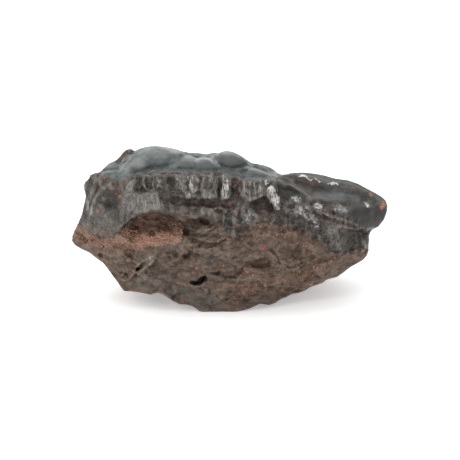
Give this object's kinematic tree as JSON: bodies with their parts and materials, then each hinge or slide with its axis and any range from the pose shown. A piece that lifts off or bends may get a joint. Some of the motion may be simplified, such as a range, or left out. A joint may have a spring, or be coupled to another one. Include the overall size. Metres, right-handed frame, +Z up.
{
  "type": "hematite specimen",
  "caption": "Hand-sized lump of iron ore with a domed grey skin on top, a broken fibrous black crust and a pitted brown matrix; a mineral display piece.",
  "frame": {"origin": "centre of the stone's box, on the ground under it", "axes": "+X along the length towards the blunt overhanging end, +Y into the stone away from its broken face, +Z up through the domes"},
  "size_m": [0.1002, 0.0538, 0.0501],
  "materials": {
    "iron_ore": "dark iron ore, satin on the domes and rough where it is broken"
  },
  "bodies": {
    "root": {"hematite": "iron_ore"}
  },
  "joints": []
}
